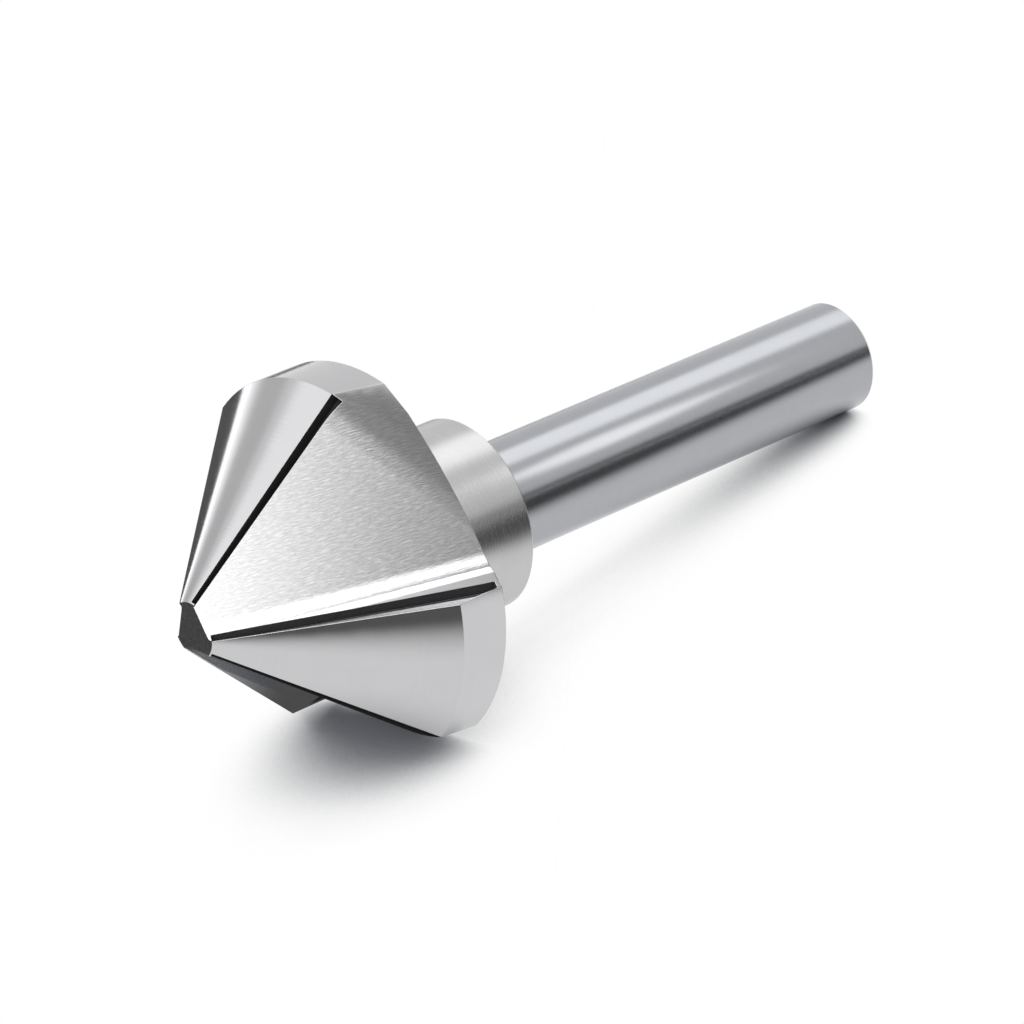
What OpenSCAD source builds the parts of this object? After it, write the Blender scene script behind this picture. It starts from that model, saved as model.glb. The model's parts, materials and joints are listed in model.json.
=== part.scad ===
// Three-flute countersink bit: a cutting head, a collar and a plain round shank, all one piece of tool steel.
// It lies on a flat surface as it comes to rest, on the rear edge of its head and on the shank's end.

/* [Head] */
// Diameter of the cutting head
head_d = 34; // [28:0.5:42]
// Included angle of the cone
cone_angle = 90; // [84:1:96]
// Diameter of the blunt tip
tip_d = 5; // [4:0.1:6]
// Length of the cylindrical margin behind the cone
margin_l = 4.5; // [3.5:0.1:6]

/* [Flutes] */
// Number of cutting edges
teeth = 3; // [3:1:3]
// How far each flute is turned from even spacing, which keeps the bit from chattering
flute_shift = [0, 2, -10]; // [-12:0.5:12]
// Distance of the cutting face behind the bit's axis
edge_offset = 0.6; // [0:0.05:0.8]
// Angle from a cutting edge over its land to the lip of the flute behind it
land_angle = 49.5; // [44:0.5:56]
// Angle by which a flute's floor dips under the cone at the lip
floor_dip = 35.5; // [34:0.5:37]
// Depth of the floor under the cone at the lip
lip_step = 0.1; // [0.05:0.05:0.3]
// Distance from the cone's rear edge, along the lip, at which the floor starts to bend down
runout_start = 2.5; // [2:0.1:3.5]
// Radius of that bend
runout_r = 10; // [8:0.5:14]

/* [Toe of a flute] */
// Angle between the lip and the toe fillet, square on to the floor
toe_angle = 40.2; // [39:0.1:41]
// Distance of the toe fillet's line from the cone's apex
toe_offset = 0.42; // [0.3:0.01:0.8]
// Radius of the toe fillet
toe_r = 2; // [1.4:0.1:2.6]
// Angle through which the toe fillet turns up
toe_turn = 24; // [18:1:30]
// Rise of the narrow facet between the fillet and the groove
facet_rise = 0; // [0:0.5:6]
// Radius at which the foot of the cutting face comes out on the tip
foot_tip_r = 2.05; // [1.7:0.05:2.2]

/* [Groove under a cutting edge] */
// Height of the groove near the tip, up the cutting face
groove_tip_h = 0.8; // [0.5:0.05:1]
// Height of the groove near the margin
groove_back_h = 1.8; // [1.2:0.05:2]
// Angle at which the groove leans in behind the cutting face
groove_lean = 11; // [8:1:16]
// Width of the groove in front of the cutting face
groove_front = 0.4; // [0.3:0.05:0.7]
// Depth of the groove under the flute's facet
groove_drop = 0.5; // [0.3:0.05:0.8]
// Metal left between the groove and the cutting edge
groove_wall = 0.25; // [0.15:0.05:0.4]
// Metal left between the groove and the tip
groove_tip_wall = 0.2; // [0.15:0.05:0.6]

/* [Slot at a heel] */
// Width of the slot near the tip
slot_tip_w = 0.46; // [0.3:0.02:0.6]
// Width of the slot near the margin
slot_back_w = 0.98; // [0.7:0.02:1.2]
// Depth of the slot
slot_depth = 1.1; // [0.7:0.1:1.4]
// Metal left between the slot and the tip
slot_tip_wall = 0.12; // [0.08:0.02:0.6]
// Depth, at the lip, of the bevel that the slot runs out into on the margin
heel_depth = 0.5; // [0.3:0.05:0.7]
// How far past the lip that bevel reaches the margin's rear edge
heel_over = 0.3; // [0.1:0.1:0.8]

/* [Collar] */
// Diameter of the collar
collar_d = 17; // [14:0.5:20]
// Length of the collar
collar_l = 10.8; // [6:0.1:16]
// Bevel on the collar's rear edge
collar_bevel = 0.25; // [0.15:0.05:0.6]

/* [Shank] */
// Diameter of the shank
shank_d = 10; // [8:0.5:12]
// Length of the shank behind the collar
shank_l = 44.2; // [30:0.1:70]
// Bevel on the shank's end
shank_bevel = 0.6; // [0.4:0.1:1.5]
// Radius of the fillet between the collar and the shank
root_r = 0.5; // [0.3:0.1:1]

/* [Hidden] */
steel = [0.72, 0.73, 0.75];
$fn = 96;

// Radii, and stations along the axis counted from the blunt tip
half_cone = cone_angle / 2;
head_r = head_d / 2;
tip_r = tip_d / 2;
collar_r = collar_d / 2;
shank_r = shank_d / 2;
apex_gap = tip_r / tan(half_cone);
cone_l = (head_r - tip_r) / tan(half_cone);
margin_end = cone_l + margin_l;
collar_end = margin_end + collar_l;
total_l = collar_end + shank_l;
pitch = 360 / teeth;
flute_angle = pitch - land_angle;
reach = 2 * head_d;
bevel_overlap = 0.05;

// Stations along the lip, counted from the cone's apex
lip_tip = apex_gap / cos(half_cone);
lip_back = head_r / sin(half_cone);
bend_at = lip_back - runout_start;

// Foot of the cutting face, in its own plane: its radius at the tip and at the back of the margin
foot_back_r = head_r - groove_wall;
foot_slope = atan((foot_back_r - foot_tip_r) / margin_end);
foot_l = margin_end / cos(foot_slope);

// Direction of the cutting face, which meets the margin's rear edge at half the flute's angle
face_turn = flute_angle / 2 - asin(edge_offset / head_r);

// Directions seen from a flute's middle plane: along the lip, out of the cone, round the axis, out of the
// floor and across it
along = [sin(half_cone) * cos(flute_angle / 2), -sin(half_cone) * sin(flute_angle / 2), cos(half_cone)];
out_cone = [cos(half_cone) * cos(flute_angle / 2), -cos(half_cone) * sin(flute_angle / 2), -sin(half_cone)];
round_axis = [sin(flute_angle / 2), cos(flute_angle / 2), 0];
out_floor = cos(floor_dip) * out_cone + sin(floor_dip) * round_axis;
across = cos(floor_dip) * round_axis - sin(floor_dip) * out_cone;

// The margin's rear plane cuts the bend in an ellipse, and this is how far that belly reaches in a direction
bend_centre = bend_at * along - (runout_r + lip_step) * out_floor;
belly_centre = bend_centre + (apex_gap + margin_end - bend_centre[2]) / across[2] * across;
belly_out = out_floor - out_floor[2] / across[2] * across;
belly_on = along - along[2] / across[2] * across;
function belly_reach(turn) = let (way = [cos(turn), sin(turn), 0])
    belly_centre * way + runout_r * norm([belly_out * way, belly_on * way]);

// How the bit lies: on its second flute's belly and on the shank's end, rolled to where the belly is lowest
rolls = [for (turn = [-15 : 0.25 : 15]) turn];
belly_drops = [for (turn = rolls) belly_reach(turn)];
belly_drop = min(belly_drops);
rest_roll = rolls[search(belly_drop, belly_drops)[0]];
rest_tilt = atan((belly_drop - shank_r) / (total_l - shank_bevel - margin_end));
rest_lift = belly_drop * cos(rest_tilt) + margin_end * sin(rest_tilt);
front_x = -tip_r * cos(flute_angle / 2 - abs(rest_roll)) * sin(rest_tilt);
rear_x = total_l * cos(rest_tilt) + (shank_r - shank_bevel) * sin(rest_tilt);
left_turn = pitch + flute_shift[2] - flute_shift[1] - flute_angle / 2 + asin(heel_over / head_r) - rest_roll;
right_turn = pitch + flute_shift[1] - flute_shift[0] - flute_angle / 2 + rest_roll;
left_y = head_r * sin(min(90, left_turn));
right_y = -head_r * sin(min(90, right_turn));

// The turned blank: cone, margin, collar, fillet and shank
module blank() {
    rotate_extrude() difference() {
        polygon([
            [0, 0],
            [tip_r, 0],
            [head_r, cone_l],
            [head_r, margin_end],
            [collar_r, margin_end],
            [collar_r, collar_end - collar_bevel],
            [collar_r - collar_bevel, collar_end],
            [shank_r + root_r, collar_end],
            [shank_r, collar_end + root_r],
            [shank_r, total_l - shank_bevel],
            [shank_r - shank_bevel, total_l],
            [0, total_l],
        ]);
        translate([shank_r + root_r, collar_end + root_r]) circle(r = root_r);
    }
}

// Everything between a heel and the next cutting face, from before the tip to past the margin
module sector() {
    translate([0, 0, -1]) linear_extrude(margin_end + 2) intersection() {
        rotate(-flute_angle / 2) translate([-reach, 0]) square(2 * reach);
        rotate(face_turn) translate([-reach, edge_offset - 2 * reach]) square(2 * reach);
    }
}

// A frame on the lip: x square to the cone, y round to the next cutting edge, z from the apex along the lip
module at_lip() {
    translate([0, 0, -apex_gap])
        rotate([0, 0, -flute_angle / 2])
            rotate([0, half_cone, 0]) children();
}

// The same frame rolled over, so that x stands square on the floor
module on_floor() {
    at_lip() rotate([0, 0, floor_dip]) translate([-lip_step, 0, 0]) children();
}

// Metal under the floor: flat along the cone and bent down over the margin
module floor_form() {
    on_floor() rotate([-90, -90, 0]) translate([0, 0, -reach]) linear_extrude(2 * reach) union() {
        polygon([
            [-reach, -reach],
            [-reach, 0],
            [bend_at, 0],
            [bend_at, -reach],
        ]);
        translate([bend_at, -runout_r]) circle(r = runout_r);
    }
}

// Metal at the toe: a fillet that turns up from the floor, then a facet that rises to the cutting face
module toe_form() {
    ridge_y = toe_r * sin(toe_turn);
    ridge_x = toe_r * (1 - cos(toe_turn));
    on_floor()
        rotate([-toe_angle, 0, 0])
            translate([0, toe_offset, -reach])
                linear_extrude(2 * reach) difference() {
                    polygon([
                        [-head_r, 0],
                        [0, 0],
                        [ridge_x, ridge_y],
                        [ridge_x + (reach - ridge_y) * tan(facet_rise), reach],
                        [-head_r, reach],
                    ]);
                    translate([toe_r, 0]) circle(r = toe_r);
                }
}

// The groove at the foot of the cutting face. It fades out up the face and stops short of the tip and the margin
module groove() {
    inside_r = head_r - groove_wall;
    top_slope = atan((groove_back_h - groove_tip_h) / (foot_l - groove_tip_wall));
    rotate([0, 0, face_turn]) rotate([90, 0, 0]) translate([0, 0, -edge_offset]) intersection() {
        translate([0, 0, -head_r]) linear_extrude(head_r + groove_front) intersection() {
            translate([foot_tip_r, 0]) rotate(90 - foot_slope) polygon([
                [groove_tip_wall, groove_drop],
                [groove_tip_wall, -groove_tip_h],
                [foot_l, -groove_back_h],
                [foot_l, groove_drop],
            ]);
            polygon([
                [0, 0],
                [tip_r - groove_wall, 0],
                [inside_r, cone_l],
                [inside_r, margin_end - groove_wall],
                [0, margin_end - groove_wall],
            ]);
        }
        translate([foot_tip_r, 0, 0])
            rotate([0, 0, 90 - foot_slope])
                translate([groove_tip_wall, -groove_tip_h, 0])
                    rotate([0, 0, -top_slope])
                        rotate([-groove_lean, 0, 0])
                            translate([-reach, -reach, 0]) cube(2 * reach);
    }
}

// The slot along the heel, between the land and the lip of the floor
module slot() {
    first = lip_tip + slot_tip_wall;
    last = lip_back;
    at_lip() rotate([0, 90, 0]) translate([0, 0, -slot_depth]) linear_extrude(2 * slot_depth) polygon([
        [-first, -slot_tip_w],
        [-first, 0],
        [-last, 0],
        [-last, -slot_back_w],
    ]);
}

// The bevel on the margin's corner at the heel: as wide as the slot where it starts, and gone at the rear edge
module heel_bevel() {
    fall = heel_depth / slot_back_w;
    slope = atan((margin_l * sin(half_cone) - heel_depth - fall * heel_over) / (margin_l * cos(half_cone)));
    at_lip() translate([0, 0, lip_back]) intersection() {
        translate([-reach, -reach, -bevel_overlap]) cube(2 * reach);
        translate([-heel_depth, 0, 0])
            rotate([0, -slope, 0])
                rotate([0, 0, atan(fall * cos(slope))])
                    translate([0, -reach, -reach]) cube(2 * reach);
    }
}

// All that one flute takes away
module flute() {
    difference() {
        sector();
        floor_form();
        toe_form();
    }
    groove();
    slot();
    heel_bevel();
}

// The bit stands on its tip here, with the axis along z
module bit() {
    difference() {
        blank();
        for (i = [0 : teeth - 1]) rotate([0, 0, i * pitch + flute_shift[i]]) flute();
    }
}

// The bit as it lies, with the middle of its length and width over the origin and the shank towards +X
module countersink() {
    color(steel)
        translate([-(front_x + rear_x) / 2, -(left_y + right_y) / 2, rest_lift])
            rotate([0, 90 + rest_tilt, 0])
                rotate([0, 0, -pitch - flute_shift[1] - rest_roll]) bit();
}

countersink();
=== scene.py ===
import json
import math
import bmesh
import bpy
from mathutils import Matrix, Quaternion, Vector


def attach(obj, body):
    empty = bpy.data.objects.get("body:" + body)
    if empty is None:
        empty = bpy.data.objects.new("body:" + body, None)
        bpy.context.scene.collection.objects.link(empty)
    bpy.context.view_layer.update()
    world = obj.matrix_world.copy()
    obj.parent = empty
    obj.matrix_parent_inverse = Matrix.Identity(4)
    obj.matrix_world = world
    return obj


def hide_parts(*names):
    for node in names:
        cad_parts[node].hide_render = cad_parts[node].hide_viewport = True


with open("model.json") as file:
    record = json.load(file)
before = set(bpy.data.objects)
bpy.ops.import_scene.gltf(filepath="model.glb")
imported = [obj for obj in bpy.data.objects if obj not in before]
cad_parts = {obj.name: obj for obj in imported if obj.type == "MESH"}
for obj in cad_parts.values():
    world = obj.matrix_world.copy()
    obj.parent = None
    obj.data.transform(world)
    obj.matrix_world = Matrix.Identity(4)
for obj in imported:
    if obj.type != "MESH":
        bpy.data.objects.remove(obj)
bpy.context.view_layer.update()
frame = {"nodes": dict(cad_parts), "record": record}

# The countersink bit
# One bar of tool steel, turned, hardened and then ground: the cone, margin and shank round the axis, and
# the flutes with a coarser wheel. The collar is only turned, and the narrow grooves, the slots at the heels
# and the blunt tip keep the near-black skin from hardening. In the grooves and slots that near-black is also
# painted shade, deep inside them.
mm = 0.001
bit_l = 74.0

# Every place on the bit is given by its axis and by the distance from its blunt tip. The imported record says
# where the middle of the shank's end is and which way the axis runs. The roll is the bit's turn about it.
rest_roll = math.radians(4.25)
shank_end = next(mount for mount in frame["record"]["mounts"] if mount["name"] == "shank_end")
axis = Vector(shank_end["axis"]).normalized()
tip = Vector(shank_end["pos_m"]) - axis * bit_l * mm
sideways = Vector((0, 1, 0))
level = Matrix((sideways.cross(axis), sideways, axis)).transposed()
to_row = level @ Matrix.Rotation(-rest_roll, 3, "Z")
lean = math.atan2(axis.x, axis.z)


def on_bit(point):
    """A point of the frame as millimetres on the bit: z along it, and x down its second flute's middle."""
    return to_row.transposed() @ (point - tip) / mm


# The bit is turned to a cone, a margin, a collar and a shank, and its three flutes are a little unevenly
# spaced. These are the sizes in millimetres, as they are cut in the solid.
head_r = 17.0
tip_r = 2.5
half_cone = math.radians(45)
cone_l = head_r - tip_r
margin_l = 4.5
margin_end = cone_l + margin_l
collar_end = 29.8
shank_r = 5.0
root_r = 0.5
even_spacing = 120
flute_shifts = (0, 2, -10)
flute_turns = [number * even_spacing + shift for number, shift in enumerate(flute_shifts)]
land_angle = 49.5
flute_half = math.radians((even_spacing - land_angle) / 2)

# Each flute is ground in passes. The first gives its sloping floor, which bends down over the margin.
floor_dip = math.radians(35.5)
lip_step = 0.1
runout_start = 2.5
runout_r = 10.0
bend_at = head_r / math.sin(half_cone) - runout_start
apex = Vector((0, 0, -tip_r))
along_lip = Vector((
    math.sin(half_cone) * math.cos(flute_half),
    -math.sin(half_cone) * math.sin(flute_half),
    math.cos(half_cone),
))
out_cone = Vector((
    math.cos(half_cone) * math.cos(flute_half),
    -math.cos(half_cone) * math.sin(flute_half),
    -math.sin(half_cone),
))
round_axis = Vector((math.sin(flute_half), math.cos(flute_half), 0))
out_floor = math.cos(floor_dip) * out_cone + math.sin(floor_dip) * round_axis
across_lip = math.cos(floor_dip) * round_axis - math.sin(floor_dip) * out_cone

# The second pass gives the fillet at the floor's toe.
toe_angle = math.radians(40.2)
toe_offset = 0.42
toe_r = 2.0
along_toe = math.sin(toe_angle) * across_lip + math.cos(toe_angle) * along_lip
across_toe = math.cos(toe_angle) * across_lip - math.sin(toe_angle) * along_lip

# The third gives the cutting face, a little past the axis, and the narrow groove that leans in at its foot.
edge_offset = 0.6
groove_wall = 0.25
groove_lean = math.radians(11)
groove_slope = math.radians(2.4)
foot_tip_r = 2.05
foot_slope = math.atan((head_r - groove_wall - foot_tip_r) / margin_end)
face_turn = flute_half - math.asin(edge_offset / head_r)
out_face = Vector((math.sin(face_turn), -math.cos(face_turn), 0))
outward_on_face = Vector((math.cos(face_turn), math.sin(face_turn), 0))
along_foot = math.sin(foot_slope) * outward_on_face + Vector((0, 0, math.cos(foot_slope)))
up_face = math.cos(foot_slope) * outward_on_face - Vector((0, 0, math.sin(foot_slope)))
down_groove = math.sin(groove_slope) * along_foot - math.cos(groove_slope) * up_face
out_groove = math.cos(groove_lean) * out_face + math.sin(groove_lean) * down_groove

# The last gives the bevel on the margin that the slot at the heel runs out into.
slot_back_w = 0.98
heel_depth = 0.5
heel_over = 0.3
heel_fall = heel_depth / slot_back_w
heel_slope = math.atan(
    (margin_l * math.sin(half_cone) - heel_depth - heel_fall * heel_over) / (margin_l * math.cos(half_cone))
)
heel_turn = math.atan(heel_fall * math.cos(heel_slope))
out_heel = (
    math.cos(heel_turn) * (math.cos(heel_slope) * out_cone + math.sin(heel_slope) * along_lip)
    + math.sin(heel_turn) * round_axis
)


def in_flute(vector, turn):
    """A point or a direction on the bit, turned so that this flute's middle plane holds the x axis."""
    return Matrix.Rotation(math.radians(flute_turns[1] - turn), 3, "Z") @ vector


def from_flute(vector, turn):
    """The same turn, back again."""
    return Matrix.Rotation(math.radians(turn - flute_turns[1]), 3, "Z") @ vector


def floor_at(point):
    """How far a point is off a flute's floor and the bend that follows it, and the way that they face."""
    from_apex = point - apex
    past_bend = from_apex.dot(along_lip) - bend_at
    height = from_apex.dot(out_floor) + lip_step
    if past_bend < 0:
        return height, out_floor
    arm = past_bend * along_lip + (height + runout_r) * out_floor
    return arm.length - runout_r, arm.normalized()


def toe_at(point):
    """The same for the fillet that turns up from the floor at its toe."""
    from_apex = point - apex
    height = from_apex.dot(out_floor) + lip_step
    arm = (toe_r - height) * out_floor - (from_apex.dot(across_toe) - toe_offset) * across_toe
    return arm.length - toe_r, arm.normalized()


def turned_normal(point, kind):
    """The way that a turned face of this kind faces at a point."""
    outward = Vector((point.x, point.y, 0)).normalized()
    if kind == "land":
        return (outward - Vector((0, 0, 1))).normalized()
    if kind == "root":
        centre = (shank_r + root_r) * outward + Vector((0, 0, collar_end + root_r))
        return (centre - point).normalized()
    return outward


# A point this near a face, in millimetres, lies on it. Two directions count as one where their cosine is
# over the first limit on a round face, whose facets turn a little, and over the second on a flat one.
on_surface = 0.03
same_way = 0.98
same_plane = 0.9998


def kind_of(point, facing):
    """Which kind of face a triangle there that faces that way belongs to, and the turn of its flute."""
    radius = math.hypot(point.x, point.y)
    for kind, near in (
        ("shank", point.z > collar_end + root_r),
        ("root", point.z > collar_end and radius < shank_r + root_r),
        ("collar", point.z > margin_end),
        ("margin", abs(radius - head_r) < on_surface),
        ("land", abs(radius - tip_r - point.z) < 2 * on_surface),
    ):
        if near and turned_normal(point, kind).dot(facing) > same_way:
            return kind, None
    if point.z >= collar_end + root_r:
        return "shank_end", None
    if point.z > margin_end - on_surface:
        return "shoulder", None
    if point.z < on_surface:
        return "tip", None
    angle = math.degrees(math.atan2(point.y, point.x)) + flute_turns[1]
    turn = min(flute_turns, key=lambda turn: abs((angle - turn + 180) % 360 - 180))
    point, facing = in_flute(point, turn), in_flute(facing, turn)
    for kind, (gap, way) in (("floor", floor_at(point)), ("toe", toe_at(point))):
        if abs(gap) < on_surface and way.dot(facing) > same_way:
            return kind, turn
    for kind, way in (("facet", out_floor), ("face", out_face), ("groove", out_groove), ("heel", out_heel)):
        if way.dot(facing) > same_plane:
            return kind, turn
    return "raw", turn


# The solid is shown through a merged copy of itself. Each kind of face gets its exact normals and the
# finish of the work that made it, and the flutes' faces get a map of their grain in millimetres.
weld_gap = 0.001 * mm
round_kinds = ("land", "margin", "collar", "root", "shank")
finish_of = {
    "land": "ground_cone", "margin": "ground_cone",
    "floor": "ground_floor", "toe": "ground_floor", "heel": "ground_floor",
    "facet": "ground_facet",
    "face": "ground_face", "groove": "ground_face",
    "collar": "turned_collar", "root": "turned_collar", "shoulder": "turned_collar",
    "shank": "ground_shank", "shank_end": "ground_shank",
    "raw": "skin_and_painted_shade",
    "tip": "raw_tip",
}
finish_names = list(dict.fromkeys(finish_of.values()))
cad = frame["nodes"]["countersink"]
bm = bmesh.new()
bm.from_mesh(cad.data)
bmesh.ops.remove_doubles(bm, verts=bm.verts, dist=weld_gap)
normals = []
grain = bm.loops.layers.uv.new("grain")
for face in bm.faces:
    facing = to_row.transposed() @ face.normal
    kind, turn = kind_of(on_bit(face.calc_center_median()), facing)
    face.material_index = finish_names.index(finish_of[kind])
    face.smooth = True
    for loop in face.loops:
        corner = on_bit(loop.vert.co)
        normal = turned_normal(corner, kind) if kind in round_kinds else facing
        if turn is not None:
            corner = in_flute(corner, turn)
            loop[grain].uv = (corner.dot(along_toe), corner.dot(across_toe))
            gap, way = floor_at(corner)
            if kind == "floor" or (kind == "heel" and abs(gap) < on_surface):
                normal = from_flute(way, turn)
            if kind == "toe":
                normal = from_flute(toe_at(corner)[1], turn)
            if kind in ("face", "groove"):
                corner -= foot_tip_r * outward_on_face
                loop[grain].uv = (corner.dot(along_foot), corner.dot(up_face))
        normals.append((to_row @ normal).normalized())
mesh = bpy.data.meshes.new("countersink_bit")
bm.to_mesh(mesh)
bm.free()
mesh.normals_split_custom_set(normals)
bit = bpy.data.objects.new("countersink_bit", mesh)
bpy.context.scene.collection.objects.link(bit)


class Wire:
    """An output socket of a material's nodes. Python's operators on it add Math nodes."""

    def __init__(self, tree, socket):
        self.tree = tree
        self.socket = socket

    def node(self, kind, settings=None, inputs=None, output=0):
        return add_node(self.tree, kind, settings, inputs, output)

    def math(self, operation, first, second):
        return self.node("ShaderNodeMath", {"operation": operation}, {0: first, 1: second})

    def __add__(self, other):
        return self.math("ADD", self, other)

    def __radd__(self, other):
        return self.math("ADD", other, self)

    def __rsub__(self, other):
        return self.math("SUBTRACT", other, self)

    def __mul__(self, other):
        return self.math("MULTIPLY", self, other)

    def __rmul__(self, other):
        return self.math("MULTIPLY", other, self)

    def __abs__(self):
        return self.math("ABSOLUTE", self, 0)

    def larger(self, other):
        return self.math("MAXIMUM", self, other)

    def step(self, low, high):
        """0 below low, 1 above high and smooth between them."""
        return self.node(
            "ShaderNodeMapRange", {"interpolation_type": "SMOOTHSTEP"},
            {"Value": self, "From Min": low, "From Max": high},
        )

    def mix(self, low, high):
        """The colour low where this is 0, and high where it is 1. A Mix node's colours are 6, 7 and 2."""
        return self.node("ShaderNodeMix", {"data_type": "RGBA"}, {0: self, 6: low, 7: high}, 2)

    def part(self, letter):
        """The X, Y or Z of a vector."""
        return self.node("ShaderNodeSeparateXYZ", inputs={"Vector": self}, output=letter)


def add_node(tree, kind, settings=None, inputs=None, output=0):
    """One output of a new node. Its settings come first, and then the value or the link of each input."""
    node = tree.nodes.new(kind)
    for name, value in (settings or {}).items():
        setattr(node, name, value)
    for name, value in (inputs or {}).items():
        if isinstance(value, Wire):
            tree.links.new(value.socket, node.inputs[name])
        else:
            node.inputs[name].default_value = value
    return Wire(tree, node.outputs[output]) if node.outputs else None


def material(name):
    """A new material, without nodes."""
    made = bpy.data.materials.new(name)
    made.use_nodes = True
    made.node_tree.nodes.clear()
    return made


def position(tree):
    """Millimetres on the bit, with z along its axis from the tip."""
    place = add_node(tree, "ShaderNodeTexCoord", output="Object")
    return add_node(
        tree, "ShaderNodeMapping", {"vector_type": "TEXTURE"},
        {"Vector": place, "Location": tip, "Rotation": (0, lean, 0), "Scale": (mm, mm, mm)},
    )


def grain_map(where):
    """Millimetres on a flute's own face, along its grinding strokes and across them."""
    return where.node("ShaderNodeUVMap", {"uv_map": "grain"})


def noise(where, scale, detail=2.0, roughness=0.5):
    """Noise with so many features a millimetre along x, y and z."""
    stretched = where.node("ShaderNodeVectorMath", {"operation": "MULTIPLY"}, {0: where, 1: scale})
    return where.node(
        "ShaderNodeTexNoise",
        inputs={"Vector": stretched, "Scale": 1.0, "Detail": detail, "Roughness": roughness},
    )


# A finish is a colour, a roughness, a height in millimetres and how metallic it is. These are the values
# that several finishes share, and the radius in millimetres at which each sharp edge catches the light.
bright = (0.60, 0.60, 0.61, 1)
dull = (0.54, 0.54, 0.55, 1)
black = (0.010, 0.010, 0.011, 1)
bare_metal = 1.0
edge_round = 0.07


def steel(name, finish):
    """The material for one of the finishes below."""
    made = material(name)
    tree = made.node_tree
    colour, rough, height, metallic = finish(position(tree))
    rounded = add_node(tree, "ShaderNodeBevel", {"samples": 6}, {"Radius": edge_round * mm})
    relief = add_node(
        tree, "ShaderNodeBump",
        inputs={"Strength": 1.0, "Distance": mm, "Height": height, "Normal": rounded},
    )
    shade = add_node(
        tree, "ShaderNodeBsdfPrincipled",
        inputs={"Base Color": colour, "Roughness": rough, "Metallic": metallic, "Normal": relief},
    )
    add_node(tree, "ShaderNodeOutputMaterial", inputs={"Surface": shade})
    return made


def ground_cone(where):
    """The lands and the margin: fine rings left by the grinding wheel."""
    rings = noise(where, (0.18, 0.18, 9.0), 3.0, 0.6)
    cloud = noise(where, (0.35, 0.35, 0.35))
    colour = (0.5 * rings + 0.5 * cloud).mix(dull, bright)
    rough = 0.09 + 0.06 * rings
    height = rings * 0.0070
    return colour, rough, height, bare_metal


def ground_floor(where):
    """A flute's floor and the bevel at its heel: short strokes of a coarser wheel, along the toe.

    The wheel's worn edge leaves the floor turned up a little where the toe starts.
    """
    at = grain_map(where)
    strokes = noise(at, (1.4, 7.0, 0), 3.0, 0.6)
    scratches = noise(at, (1.2, 9.0, 0)).step(0.40, 0.75)
    reach = 0.75
    lift = 0.15
    rise = at.part("Y").step(toe_offset - reach, toe_offset + reach) * lift
    colour = scratches.mix((0.475, 0.475, 0.48, 1), (0.585, 0.585, 0.585, 1))
    rough = 0.19 + 0.08 * strokes
    height = strokes * 0.008 + rise
    return colour, rough, height, bare_metal


def ground_facet(where):
    """The narrow facet between the toe and the groove."""
    strokes = noise(grain_map(where), (0.5, 9.0, 0))
    colour = strokes.mix(dull, bright)
    rough = 0.28
    height = strokes * 0.002
    return colour, rough, height, bare_metal


def ground_face(where):
    """The cutting face, black towards the foot of its groove: the skin left there, and painted shade in the
    groove.
    """
    at = grain_map(where)
    strokes = noise(at, (0.5, 9.0, 0))
    # Black at the groove's foot, fading to bright metal up the face: the skin left there, and painted shade
    # in the groove.
    clear_of_skin_and_shade = (at.part("Y") + 0.2 * strokes).step(0.05, 0.62)
    colour = clear_of_skin_and_shade.mix(black, (0.66, 0.66, 0.67, 1))
    rough = 0.55 - 0.28 * clear_of_skin_and_shade
    height = strokes * 0.003
    metallic = 0.4 + 0.6 * clear_of_skin_and_shade
    return colour, rough, height, metallic


def turned_collar(where):
    """The collar and the shoulder behind the head, left as they came off the lathe."""
    rings = noise(where, (0.25, 0.25, 7.0), 4.0, 0.6)
    cloud = noise(where, (0.4, 0.4, 0.4))
    colour = (0.5 * rings + 0.5 * cloud).mix((0.47, 0.47, 0.48, 1), (0.61, 0.61, 0.61, 1))
    rough = 0.20 + 0.12 * rings
    height = rings * 0.005
    return colour, rough, height, bare_metal


def ground_shank(where):
    """The shank: finer and a little bluer than the head."""
    rings = noise(where, (0.4, 0.4, 4.0), 4.0, 0.6)
    cloud = noise(where, (0.5, 0.5, 0.3))
    colour = (0.5 * rings + 0.5 * cloud).mix((0.375, 0.385, 0.41, 1), (0.435, 0.445, 0.465, 1))
    rough = 0.17 + 0.07 * rings
    height = rings * 0.0016
    return colour, rough, height, bare_metal


def skin_and_painted_shade(where):
    """The skin from hardening, in the slots and at the bottom of the grooves, near-black as painted shade
    deep inside them too.
    """
    grit = noise(where, (5.0, 5.0, 5.0), 4.0, 0.7)
    # Near-black: the skin, and painted shade deep in the slots and grooves.
    colour = grit.mix((0.014, 0.014, 0.015, 1), (0.055, 0.055, 0.058, 1))
    rough = 0.62
    height = grit * 0.05
    metallic = 0.3
    return colour, rough, height, metallic


def raw_tip(where):
    """The same skin on the blunt tip, in coarser patches."""
    grit = noise(where, (2.2, 2.2, 2.2), 5.0, 0.75)
    colour = grit.step(0.35, 0.75).mix((0.008, 0.008, 0.009, 1), (0.042, 0.042, 0.044, 1))
    rough = 0.5
    height = grit * 0.10
    metallic = 0.35
    return colour, rough, height, metallic


finishes = {
    "ground_cone": ground_cone,
    "ground_floor": ground_floor,
    "ground_facet": ground_facet,
    "ground_face": ground_face,
    "turned_collar": turned_collar,
    "ground_shank": ground_shank,
    "skin_and_painted_shade": skin_and_painted_shade,
    "raw_tip": raw_tip,
}
for name in finish_names:
    mesh.materials.append(steel(name, finishes[name]))
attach(bit, "root")
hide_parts("countersink")
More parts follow.
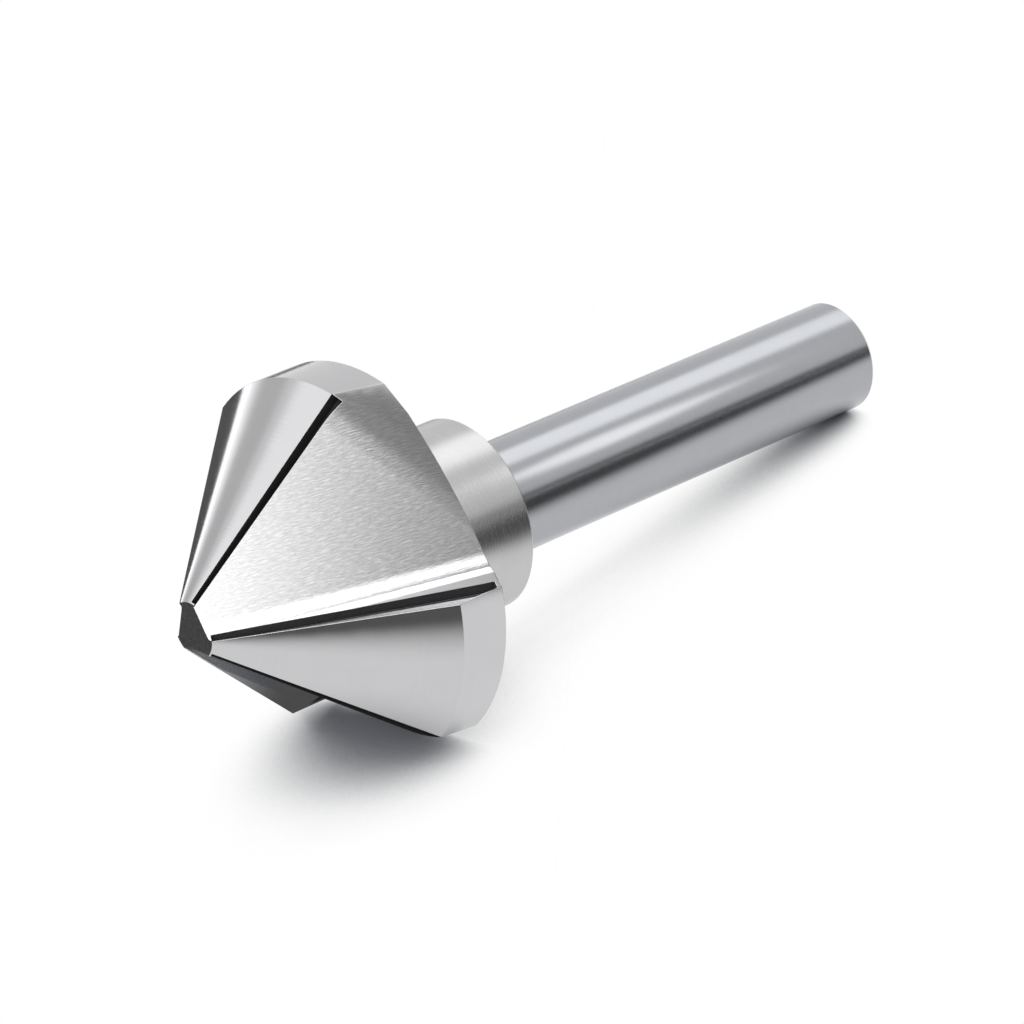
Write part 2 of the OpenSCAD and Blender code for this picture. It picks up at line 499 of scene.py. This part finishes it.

# The table
# A plain white surface that the bit lies on, wide enough to fill every view. The camera and the steel see
# it glow pure white, except close under the bit, where ambient occlusion fades the glow to a dim blue-grey: a
# painted soft shadow.
table_half = 4000 * mm
shadow_reach = 36 * mm
full_shade = 0.10
no_shade = 0.64
pure_white = (1, 1, 1, 1)
bm = bmesh.new()
bmesh.ops.create_grid(bm, x_segments=1, y_segments=1, size=table_half)
table_mesh = bpy.data.meshes.new("table")
bm.to_mesh(table_mesh)
bm.free()
table = bpy.data.objects.new("table", table_mesh)
bpy.context.scene.collection.objects.link(table)
paper = material("white_table")
tree = paper.node_tree
shadow_diffuse = add_node(tree, "ShaderNodeBsdfDiffuse", inputs={"Color": (0.25, 0.26, 0.29, 1)})
glow = add_node(tree, "ShaderNodeEmission", inputs={"Color": pure_white, "Strength": 1.0})
toward_light = add_node(tree, "ShaderNodeCombineXYZ", inputs={"X": 0.42, "Y": 0.15, "Z": 0.90})
open_air = add_node(
    tree, "ShaderNodeAmbientOcclusion", {"samples": 16},
    {"Distance": shadow_reach, "Normal": toward_light}, "AO",
)
seen_by_camera = add_node(tree, "ShaderNodeLightPath", output="Is Camera Ray")
seen_in_steel = add_node(tree, "ShaderNodeLightPath", output="Is Glossy Ray")
# The glow fades where little air is open: the bit's shadow, painted from ambient occlusion.
glowing = seen_by_camera.larger(seen_in_steel) * open_air.step(full_shade, no_shade)
surface = add_node(tree, "ShaderNodeMixShader", inputs={0: glowing, 1: shadow_diffuse, 2: glow})
add_node(tree, "ShaderNodeOutputMaterial", inputs={"Surface": surface})
table_mesh.materials.append(paper)

# The studio
# A white tent lights everything. Only the steel's reflections see the cards in it: soft bright ones above
# and beside the bit, and dark ones low down and flat on the table, which give ground steel its bands. The
# dark one under the bit is painted shade: it stands in for the bit's shadow in the steel's reflections.
dimmed_in_steel = 0.12
world = bpy.data.worlds.new("tent")
bpy.context.scene.world = world
world.use_nodes = True
tent = world.node_tree
tent.nodes.clear()
seen_in_steel = add_node(tent, "ShaderNodeLightPath", output="Is Glossy Ray")
sky = add_node(
    tent, "ShaderNodeBackground",
    inputs={"Color": pure_white, "Strength": 1 - dimmed_in_steel * seen_in_steel},
)
add_node(tent, "ShaderNodeOutputWorld", inputs={"Surface": sky})


def toward(azimuth, elevation):
    """A direction: azimuth 0 is +Y and 90 is +X, in degrees."""
    around, up = math.radians(azimuth), math.radians(elevation)
    return Vector((math.sin(around) * math.cos(up), math.cos(around) * math.cos(up), math.sin(up)))


def card(name, centre, facing, size, strength, soft, tint=pure_white, spin=0):
    """A soft-edged card that only glossy surfaces see, with its centre and size in metres.

    soft is the share of each half that fades out, and spin turns the card in its own plane.
    """
    bm = bmesh.new()
    uv = bm.loops.layers.uv.new("card")
    bmesh.ops.create_grid(bm, x_segments=1, y_segments=1, size=0.5)
    for face in bm.faces:
        for loop in face.loops:
            loop[uv].uv = (loop.vert.co.x * 2, loop.vert.co.y * 2)
    turn = facing.to_track_quat("Z", "Y").to_matrix().to_4x4() @ Matrix.Rotation(math.radians(spin), 4, "Z")
    shape = Matrix.Translation(centre) @ turn @ Matrix.Diagonal((size[0], size[1], 1, 1))
    bmesh.ops.transform(bm, matrix=shape, verts=bm.verts)
    card_mesh = bpy.data.meshes.new(name)
    bm.to_mesh(card_mesh)
    bm.free()
    made = bpy.data.objects.new(name, card_mesh)
    bpy.context.scene.collection.objects.link(made)
    for ray in ("camera", "diffuse", "shadow", "transmission", "volume_scatter"):
        setattr(made, "visible_" + ray, False)
    finish = material(name)
    tree = finish.node_tree
    at = add_node(tree, "ShaderNodeUVMap", {"uv_map": "card"})
    fade_x = 1 - abs(at.part("X")).step(1 - soft[0], 1)
    fade_y = 1 - abs(at.part("Y")).step(1 - soft[1], 1)
    glow = add_node(tree, "ShaderNodeEmission", inputs={"Color": tint, "Strength": strength})
    clear = add_node(tree, "ShaderNodeBsdfTransparent")
    surface = add_node(tree, "ShaderNodeMixShader", inputs={0: fade_x * fade_y, 1: clear, 2: glow})
    add_node(tree, "ShaderNodeOutputMaterial", inputs={"Surface": surface})
    card_mesh.materials.append(finish)


middle = Vector((0, 0, 12))
head = Vector((-25, -5, 21))
neck = Vector((5, -5, 12))
warm_white = (1.0, 0.985, 0.96, 1)


def far_card(name, at, fills, strength, soft=(0.5, 0.5), tint=pure_white, distance=600, centre=middle):
    """A card that faces a centre near the bit from some distance off, both in millimetres.

    at is its azimuth and elevation, and fills is how wide and high it looks from the centre, in degrees.
    """
    way = toward(*at)
    size = [2 * distance * mm * math.tan(math.radians(angle) / 2) for angle in fills]
    card(name, (centre + way * distance) * mm, -way, size, strength, soft, tint)


def table_card(name, centre, size, strength, soft, spin=0):
    """A card that lies flat just above the table, with its centre and size in millimetres."""
    size = [side * mm for side in size]
    card(name, Vector(centre) * mm, Vector((0, 0, 1)), size, strength, soft, spin=spin)


# Each line gives a card's name, where it stands, the angles that it fills, its strength and its soft edges.
far_card("overhead_strip", (81, 43), (38, 28), 1.8)
far_card("right_strip", (125, 31), (24, 24), 2.1, tint=warm_white, distance=70, centre=neck)
far_card("left_panel", (-118, 26), (52, 60), 2.9, (0.5, 0.4), distance=160, centre=head)
far_card("top_panel", (-143, 57), (26, 36), 3.4, (0.4, 0.25), distance=200, centre=head)
far_card("camera_flag", (-167, 28), (88, 50), 0.26, (0.1, 0.2), distance=300, centre=head)
far_card("top_flag", (152, 52), (34, 24), 0.36, (0.3, 0.3), distance=400)
far_card("rear_strip", (4, 7), (26, 26), 2.1, (0.5, 1.0))
far_card("rear_panel", (-9, 27), (30, 18), 0.68, (0.4, 0.5), distance=550)
far_card("left_strip", (-33, 50), (40, 26), 1.3)
far_card("rear_flag", (3, 0), (46, 16), 0.10, (0.3, 0.03), distance=500)
far_card("right_flag", (144, -1), (60, 17), 0.12, (0.3, 0.5))

# The flat cards, with their centre and size in place of angles. Where two overlap, their heights differ.
table_card("right_table_flag", (150, -112, 0.5), (310, 200), 0.08, (0.06, 0.22))
table_card("left_table_flag", (-68, -117, 0.7), (240, 200), 0.12, (0.2, 0.34), spin=-30)
# A dark card in the bit's shadow: painted shade that the steel reflects there.
table_card("under_shade_flag", (-22, 20.8, 0.5), (60, 34.6), 0.10, (0.3, 0.25))
table_card("rear_table_flag", (15, 420, 0.4), (270, 700), 0.10, (0.15, 0.2))

# The camera
# It looks down on the bit from the tip's side, as near to its axis as the photograph does, and is tilted.
aim = Vector((-3.359, -0.032, 10.696)) * mm
camera_azimuth = 180 + 34.5979
camera_elevation = 25.3080
camera_roll = math.radians(-17.9017)
distance = 429.886 * mm
lens = bpy.data.cameras.new("camera")
lens.sensor_width = 36.0
lens.lens = 177.192
lens.clip_start = 50 * mm
camera = bpy.data.objects.new("camera", lens)
bpy.context.scene.collection.objects.link(camera)
to_camera = toward(camera_azimuth, camera_elevation)
camera.location = aim + to_camera * distance
level_view = (-to_camera).to_track_quat("-Z", "Y")
camera.rotation_euler = (level_view @ Quaternion((0, 0, 1), camera_roll)).to_euler()
bpy.context.scene.camera = camera
bpy.context.scene.view_settings.view_transform = "Standard"
